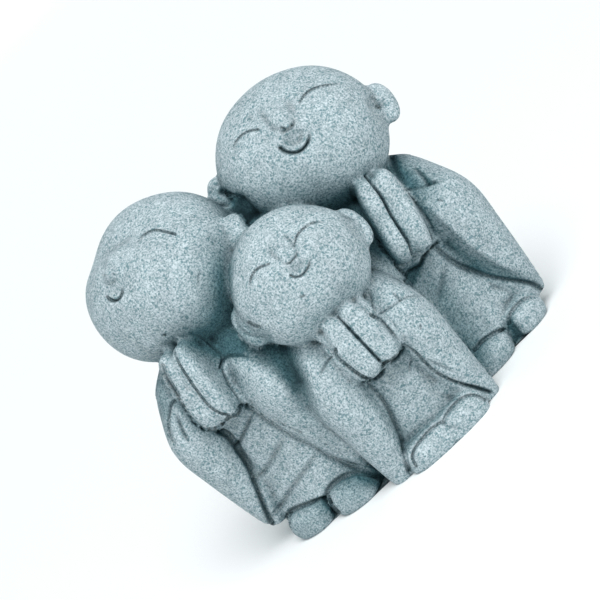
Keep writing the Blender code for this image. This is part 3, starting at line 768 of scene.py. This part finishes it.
def carve(piece, facing, cuts):
    """Cuts each line into the stone along the surface normal, and lifts the cloth beside it."""
    points = get_points(piece)
    normals = get_normals(piece)
    place, depth, seen = seen_from(points, normals, facing)
    for cut in cuts:
        reach = max(cut.width * 3.0, cut.fade * 2.0 if cut.lift else 0.0)
        rows, distance, along, side = find_cut(place, depth, seen, cut, reach)
        aside = 0.5 * np.sign(side) * cut.width if cut.lift else 0.0
        shift = cut.depth * np.exp(-((distance + aside) / cut.width) ** 2)
        if cut.lift:
            edge = 0.5 * (1.0 + np.tanh(side / (0.5 * cut.width)))
            shift -= cut.lift * edge * np.exp(-(distance / cut.fade) ** 2)
        points[rows] -= normals[rows] * (0.001 * end_share(cut, along) * shift)[:, None]
    set_points(piece, points)


def trim(piece, triangles):
    """Cuts the underside flat, thins the mesh to its most triangles and moves it onto its footprint."""
    select_only(piece)
    bpy.ops.object.mode_set(mode="EDIT")
    bpy.ops.mesh.select_all(action="SELECT")
    bpy.ops.mesh.bisect(plane_co=(0.0, 0.0, 0.0), plane_no=(0.0, 0.0, 1.0), use_fill=True, clear_inner=True)
    bpy.ops.mesh.select_all(action="SELECT")
    bpy.ops.mesh.quads_convert_to_tris()
    bpy.ops.object.mode_set(mode="OBJECT")
    if len(piece.data.polygons) > triangles:
        apply_modifier(piece, "DECIMATE", ratio=triangles / len(piece.data.polygons))
    points = get_points(piece)
    points[points[:, 2] < FLAT_WITHIN, 2] = 0.0
    set_points(piece, points + np.array(LAYOUT_SHIFT))


def neighbour_mean(mesh, values, turns):
    """Each corner's value averaged with its neighbours', several times over."""
    edges = np.empty(len(mesh.edges) * 2, dtype=np.int64)
    mesh.edges.foreach_get("vertices", edges)
    one, other = edges.reshape(-1, 2).T
    count = np.bincount(edges, minlength=len(values)) + 1.0
    for turn in range(turns):
        total = values.copy()
        for axis in range(values.shape[1]):
            total[:, axis] += np.bincount(one, values[other, axis], len(values))
            total[:, axis] += np.bincount(other, values[one, axis], len(values))
        values = total / count[:, None]
    return values


def find_openness(piece):
    """The share of the sky over each corner that no other stone nearby shuts off."""
    mesh = piece.data
    tree = BVHTree.FromPolygons([v.co for v in mesh.vertices], [tuple(p.vertices) for p in mesh.polygons])
    golden = math.pi * (3.0 - math.sqrt(5.0))
    ways = []
    for index in range(SKY_RAYS):
        out = math.sqrt((index + 0.5) / SKY_RAYS)
        angle = index * golden
        ways.append(Vector((out * math.cos(angle), out * math.sin(angle), math.sqrt(1.0 - out * out))))
    open_share = np.empty(len(mesh.vertices))
    for index, corner in enumerate(mesh.vertices):
        turn = corner.normal.to_track_quat("Z", "X")
        start = corner.co + corner.normal * RAY_LIFT
        shut = sum(1 for way in ways if tree.ray_cast(start, turn @ way, SKY_REACH)[0] is not None)
        open_share[index] = 1.0 - shut / SKY_RAYS
    return neighbour_mean(mesh, open_share[:, None], 2)[:, 0]


def mark_creases(piece):
    """Stores the painted shade at each corner, from 0 on open stone to 1 in the deepest creases, and where
    the sky is shut off or the stone faces down.
    """
    mesh = piece.data
    points = get_points(piece)
    normals = get_normals(piece)
    # Painted shade in the creases, the darker the deeper a corner is sunk below its neighbours.
    sunk = ((neighbour_mean(mesh, points, 10) - points) * normals).sum(axis=1) * 1000.0
    crease = ramp(sunk, *SUNK_RANGE)
    # Painted shade where nearby stone shuts off the sky, and a little on stone that faces down.
    shut = ramp(1.0 - find_openness(piece), *SHUT_RANGE) + UNDERSIDE_SHADE * ramp(-normals[:, 2], *UNDER_RANGE)
    for facing, cuts in VIEWS:
        place, depth, seen = seen_from(points - np.array(LAYOUT_SHIFT), normals, facing)
        for cut in cuts:
            # Each cut paints shade into its groove by how deep it is, and its shade stroke paints shade, or
            # light below zero.
            rows, distance, along, side = find_cut(place, depth, seen, cut, cut.width * 2.0)
            near = end_share(cut, along) * np.exp(-(distance / (cut.width * 0.9)) ** 2)
            groove_shade = max(0.0, min(1.0, cut.depth / (FULL_GROOVE_SHADE * cut.width)))
            crease[rows] = np.maximum(crease[rows], groove_shade * near)
            shut[rows] += cut.shade * near
    for name, values in (("crease", crease), ("shut", np.clip(shut, 0.0, 1.0))):
        layer = mesh.attributes.new(name, "FLOAT", "POINT")
        layer.data.foreach_set("value", values.astype(np.float32))


def srgb(code):
    """A hex colour as linear light."""
    values = [int(code[i:i + 2], 16) / 255.0 for i in (1, 3, 5)]
    return tuple(v / 12.92 if v <= 0.04045 else ((v + 0.055) / 1.055) ** 2.4 for v in values) + (1.0,)


def add_node(tree, kind, inputs=None, links=None, **settings):
    """Adds one node with its settings, its input values and the links that feed it."""
    node = tree.nodes.new(kind)
    for name, value in settings.items():
        setattr(node, name, value)
    for name, value in (inputs or {}).items():
        node.inputs[name].default_value = value
    for name, source in (links or {}).items():
        tree.links.new(source, node.inputs[name])
    return node


def blend(tree, under, colour, share, how="MIX"):
    """A plain colour laid over another, or tinting it, by a share that a node works out."""
    links = {"Factor": share, 6: under}
    return add_node(tree, "ShaderNodeMix", {7: colour}, links, data_type="RGBA", blend_type=how).outputs[2]


def cast_sandstone(look):
    """Cast sandstone: coloured sand in cement, dry and gritty, with pale and dark grains, and painted shade
    in the creases and where little light reaches.
    """
    material = bpy.data.materials.new("cast_sandstone")
    material.use_nodes = True
    tree = material.node_tree
    shader = tree.nodes["Principled BSDF"]
    where = {"Vector": add_node(tree, "ShaderNodeTexCoord").outputs["Object"]}
    per_metre = 1.0 / look.grit

    # The sand: fine grains a little paler or darker than the cement, and a few nearly white or nearly black.
    fine = add_node(tree, "ShaderNodeTexNoise", {"Scale": per_metre, "Detail": 1.0, "Roughness": 0.5}, where)
    tone = add_node(tree, "ShaderNodeValToRGB", None, {"Fac": fine.outputs["Fac"]})
    tone.color_ramp.elements[0].position = 0.27
    tone.color_ramp.elements[0].color = look.dark_grain
    tone.color_ramp.elements[1].position = 0.73
    tone.color_ramp.elements[1].color = look.pale_grain
    tone.color_ramp.elements.new(0.50).color = look.ground
    grains = add_node(tree, "ShaderNodeTexVoronoi", {"Scale": per_metre * 0.8}, where, feature="F1")
    parts = add_node(tree, "ShaderNodeSeparateColor", None, {"Color": grains.outputs["Color"]})
    red, green = {"Value": parts.outputs["Red"]}, {"Value": parts.outputs["Green"]}
    pale = add_node(tree, "ShaderNodeMapRange", {1: 0.87, 2: 0.96, 3: 0.0, 4: 0.70}, red)
    dark = add_node(tree, "ShaderNodeMapRange", {1: 0.87, 2: 0.95, 3: 0.0, 4: 0.85}, green)
    sand = blend(tree, tone.outputs["Color"], look.pale_grain, pale.outputs["Result"])
    sand = blend(tree, sand, look.dark_grain, dark.outputs["Result"])

    # Clouds in the cement, about 6 mm across, then painted shade where little light falls and in creases.
    mottle = add_node(tree, "ShaderNodeTexNoise", {"Scale": 170.0, "Detail": 3.0, "Roughness": 0.55}, where)
    cloud = {"Value": mottle.outputs["Fac"]}
    shade = add_node(tree, "ShaderNodeMapRange", {1: 0.30, 2: 0.70, 3: 0.90, 4: 1.08}, cloud)
    both = {0: sand, 1: shade.outputs["Result"]}
    clouded = add_node(tree, "ShaderNodeVectorMath", None, both, operation="MULTIPLY")
    # Painted shade: a tint where little light falls, then a dark colour in the creases.
    shut = {0: add_node(tree, "ShaderNodeAttribute", attribute_name="shut").outputs["Fac"]}
    shade_share = add_node(tree, "ShaderNodeMath", {1: look.shade_tint_strength}, shut, operation="MULTIPLY")
    crease = {0: add_node(tree, "ShaderNodeAttribute", attribute_name="crease").outputs["Fac"]}
    lined = add_node(tree, "ShaderNodeMath", {1: look.crease_shade_strength}, crease, operation="MULTIPLY")
    sand = blend(tree, clouded.outputs["Vector"], look.shade_tint, shade_share.outputs["Value"], "MULTIPLY")
    sand = blend(tree, sand, look.crease, lined.outputs["Value"])
    tree.links.new(sand, shader.inputs["Base Color"])

    # The grains stand out of the cement by about a third of their width.
    lumps = add_node(tree, "ShaderNodeTexNoise", {"Scale": per_metre * 0.8, "Detail": 1.0}, where)
    height = {"Height": lumps.outputs["Fac"]}
    bump = add_node(tree, "ShaderNodeBump", {"Strength": 1.0, "Distance": look.relief}, height)
    tree.links.new(bump.outputs["Normal"], shader.inputs["Normal"])
    shader.inputs["Roughness"].default_value = 0.92
    shader.inputs["IOR"].default_value = 1.5
    shader.inputs["Specular IOR Level"].default_value = 0.25
    return material


def add_floor(colour):
    """A wide matt floor just under the statue, turned up into a backdrop far behind it."""
    deselect()
    bpy.ops.mesh.primitive_plane_add(size=FLOOR_SIZE)
    floor = bpy.context.object
    floor.name = "floor"
    bpy.ops.object.mode_set(mode="EDIT")
    bpy.ops.mesh.select_mode(type="VERT")
    bpy.ops.mesh.select_all(action="DESELECT")
    bpy.ops.object.mode_set(mode="OBJECT")
    for corner in floor.data.vertices:
        corner.select = corner.co.y > 0.0
    bpy.ops.object.mode_set(mode="EDIT")
    bpy.ops.mesh.select_mode(type="EDGE")
    bpy.ops.mesh.extrude_region_move(TRANSFORM_OT_translate={"value": (0.0, 0.0, BACKDROP_HEIGHT)})
    bpy.ops.object.mode_set(mode="OBJECT")
    points = get_points(floor)
    points[:, 2] -= FLOOR_GAP
    set_points(floor, points)
    paper = bpy.data.materials.new("pale_floor")
    paper.use_nodes = True
    shader = paper.node_tree.nodes["Principled BSDF"]
    shader.inputs["Base Color"].default_value = colour
    shader.inputs["Roughness"].default_value = 0.9
    shader.inputs["Specular IOR Level"].default_value = 0.0
    floor.data.materials.append(paper)


def add_holder(name, data):
    """An object that holds a light or the camera."""
    holder = bpy.data.objects.new(name, data)
    bpy.context.scene.collection.objects.link(holder)
    return holder


def add_sun(name, toward, power, softness):
    """A soft far light shining from a direction; softness is its width in the sky in degrees."""
    light = bpy.data.lights.new(name, "SUN")
    light.energy = power
    light.angle = math.radians(softness)
    add_holder(name, light).rotation_euler = Vector(toward).to_track_quat("Z", "Y").to_euler()


def add_softbox(name, place, size, power):
    """A near square soft light aimed at the statue."""
    light = bpy.data.lights.new(name, "AREA")
    light.size = size
    light.energy = power
    holder = add_holder(name, light)
    holder.location = place
    aim = Vector((0.0, 0.0, VIEW_HEIGHT)) - Vector(place)
    holder.rotation_euler = aim.to_track_quat("-Z", "Y").to_euler()


def add_surround(colour, strength):
    """The pale light from all round."""
    world = bpy.data.worlds.new("white_surround")
    world.use_nodes = True
    world.node_tree.nodes["Background"].inputs["Color"].default_value = colour
    world.node_tree.nodes["Background"].inputs["Strength"].default_value = strength
    bpy.context.scene.world = world
    bpy.context.scene.view_settings.view_transform = "Standard"


def add_camera(tilt, roll):
    """The camera at the photo's angle, with the picture turned by its roll."""
    back = Vector((0.0, -math.cos(tilt), math.sin(tilt)))
    eye = bpy.data.cameras.new("camera")
    eye.sensor_width = SENSOR
    eye.lens = SENSOR * VIEW_DISTANCE / VIEW_UNIT / PICTURE_WIDTH
    eye.clip_start = 0.01
    camera = add_holder("camera", eye)
    camera.location = Vector((0.0, 0.0, VIEW_HEIGHT)) + LAYOUT_SHIFT + back * VIEW_DISTANCE
    level = back.to_track_quat("Z", "Y").to_matrix().to_4x4()
    camera.rotation_euler = (level @ Matrix.Rotation(-roll, 4, "Z")).to_euler()
    bpy.context.scene.camera = camera


class MonkSizes(PropertyGroup):
    """The sizes of the robes and heads"""
    left_robe: FloatProperty(
        name="Left robe", description="Height of the left monk's robe", default=0.0620, min=0.02,
        precision=4, unit="LENGTH")
    right_robe: FloatProperty(
        name="Right robe", description="Height of the right monk's robe", default=0.0620, min=0.02,
        precision=4, unit="LENGTH")
    child_robe: FloatProperty(
        name="Child's robe", description="Height of the child's robe", default=0.0496, min=0.02,
        precision=4, unit="LENGTH")
    left_skull: FloatProperty(
        name="Left skull", description="Radius of the left monk's skull", default=0.02268, min=0.01,
        precision=5, unit="LENGTH")
    right_skull: FloatProperty(
        name="Right skull", description="Radius of the right monk's skull", default=0.02182, min=0.01,
        precision=5, unit="LENGTH")
    child_skull: FloatProperty(
        name="Child's skull", description="Radius of the child's skull", default=0.01737, min=0.01,
        precision=5, unit="LENGTH")


class MonkStone(PropertyGroup):
    """The cast stone, its painted shade and the fineness of its mesh"""
    grit: FloatProperty(
        name="Grit", description="Width of a sand grain", default=0.00044, min=0.0001, precision=5,
        unit="LENGTH")
    relief: FloatProperty(
        name="Relief", description="Height of the grain in the surface", default=0.00012, min=0.0,
        precision=5, unit="LENGTH")
    ground: FloatVectorProperty(
        name="Ground", description="Colour of the stone between the grains", subtype="COLOR", size=4,
        min=0.0, max=1.0, default=srgb("#a1b0b5"))
    pale_grain: FloatVectorProperty(
        name="Pale grain", description="Colour of the palest grains", subtype="COLOR", size=4,
        min=0.0, max=1.0, default=srgb("#c9d5d9"))
    dark_grain: FloatVectorProperty(
        name="Dark grain", description="Colour of the darkest grains", subtype="COLOR", size=4,
        min=0.0, max=1.0, default=srgb("#65838a"))
    # The tint of painted shade where little light falls.
    shade_tint: FloatVectorProperty(
        name="Sheltered stone", description="Tint of the damp stone where little light falls",
        subtype="COLOR", size=4, min=0.0, max=1.0, default=srgb("#3f7a82"))
    # The colour of the painted shade in the creases.
    crease: FloatVectorProperty(
        name="Crease", description="Colour of the dust and stain in the creases", subtype="COLOR", size=4,
        min=0.0, max=1.0, default=srgb("#0f252a"))
    # How strong the two painted shades are.
    shade_tint_strength: FloatProperty(
        name="Shelter stain", description="Strength of the sheltered colour", default=0.90, min=0.0, max=1.0,
        subtype="FACTOR")
    crease_shade_strength: FloatProperty(
        name="Crease stain", description="Strength of the crease colour", default=0.92, min=0.0, max=1.0,
        subtype="FACTOR")
    voxel: FloatProperty(
        name="Skin", description="Spacing of the skin that fuses the masses", default=0.00045, min=0.0002,
        precision=5, unit="LENGTH")
    fill: FloatProperty(
        name="Crevice fill", description="Half width of the narrowest crevice left open", default=0.0005,
        min=0.0, precision=5, unit="LENGTH")
    triangles: IntProperty(
        name="Triangles", description="Most triangles left in the finished piece", default=196000, min=1000)


class MonkStage(PropertyGroup):
    """The camera, the floor and the lights"""
    elevation: FloatProperty(
        name="Elevation", description="Camera height above the horizon", default=math.radians(12.0),
        subtype="ANGLE")
    roll: FloatProperty(
        name="Roll", description="How far the picture is turned", default=math.radians(43.5), subtype="ANGLE")
    floor: FloatVectorProperty(
        name="Floor", description="Colour of the plain floor", subtype="COLOR", size=4, min=0.0, max=1.0,
        default=srgb("#f7f8f8"))
    surround: FloatVectorProperty(
        name="Surround", description="Colour of the light from all round", subtype="COLOR", size=4,
        min=0.0, max=1.0, default=srgb("#ebf6f9"))
    key: FloatProperty(
        name="Key light", description="Strength of the large soft light", default=2.45, min=0.0)
    front: FloatProperty(
        name="Front light", description="Power of the near soft box", default=0.22, min=0.0, unit="POWER")
    sky: FloatProperty(
        name="Fill light", description="Strength of the light from all round", default=0.43, min=0.0)


class MONKS_OT_make_group(Operator):
    """Models, carves and finishes the three monks as one piece of cast stone"""
    bl_idname = "monks.make_group"
    bl_label = "Make the group"

    def execute(self, context):
        stone = context.scene.monk_stone
        piece = rough_out(context.scene.monk_sizes, stone)
        refine_near_cuts(piece)
        for facing, cuts in VIEWS:
            carve(piece, facing, cuts)
        trim(piece, stone.triangles)
        if not piece.data.polygons:
            raise RuntimeError("The group came out with no faces")
        mark_creases(piece)
        piece.data.materials.clear()
        piece.data.materials.append(cast_sandstone(stone))
        select_only(piece)
        bpy.ops.object.shade_smooth()
        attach(piece, "root")
        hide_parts("three_monks")
        return {"FINISHED"}


class MONKS_OT_set_stage(Operator):
    """Adds the floor, the soft light and the camera"""
    bl_idname = "monks.set_stage"
    bl_label = "Set the stage"

    def execute(self, context):
        look = context.scene.monk_stage
        add_floor(look.floor)
        add_sun("key", KEY_FROM, look.key, KEY_SOFTNESS)
        add_softbox("front", FRONT_PLACE, FRONT_SIZE, look.front)
        add_surround(look.surround, look.sky)
        add_camera(look.elevation, look.roll)
        return {"FINISHED"}


class MONKS_PT_panel(Panel):
    """The steps that make the group, in order"""
    bl_label = "Monks"
    bl_idname = "MONKS_PT_panel"
    bl_space_type = "VIEW_3D"
    bl_region_type = "UI"
    bl_category = "Monks"

    def draw(self, context):
        layout = self.layout
        layout.operator(MONKS_OT_make_group.bl_idname)
        layout.operator(MONKS_OT_set_stage.bl_idname)
        for name in GROUPS:
            group = getattr(context.scene, name)
            for item in group.__annotations__:
                layout.prop(group, item)


GROUPS = {"monk_sizes": MonkSizes, "monk_stone": MonkStone, "monk_stage": MonkStage}
CLASSES = (*GROUPS.values(), MONKS_OT_make_group, MONKS_OT_set_stage, MONKS_PT_panel)


def register():
    """Adds the classes, and their settings to the scene."""
    for item in CLASSES:
        bpy.utils.register_class(item)
    for name, group in GROUPS.items():
        setattr(bpy.types.Scene, name, PointerProperty(type=group))


def unregister():
    """Takes the settings and the classes out again."""
    for name in GROUPS:
        delattr(bpy.types.Scene, name)
    for item in reversed(CLASSES):
        bpy.utils.unregister_class(item)


def main():
    """Makes the group and its stage."""
    register()
    bpy.ops.monks.make_group()
    bpy.ops.monks.set_stage()


if __name__ == "__main__":
    main()
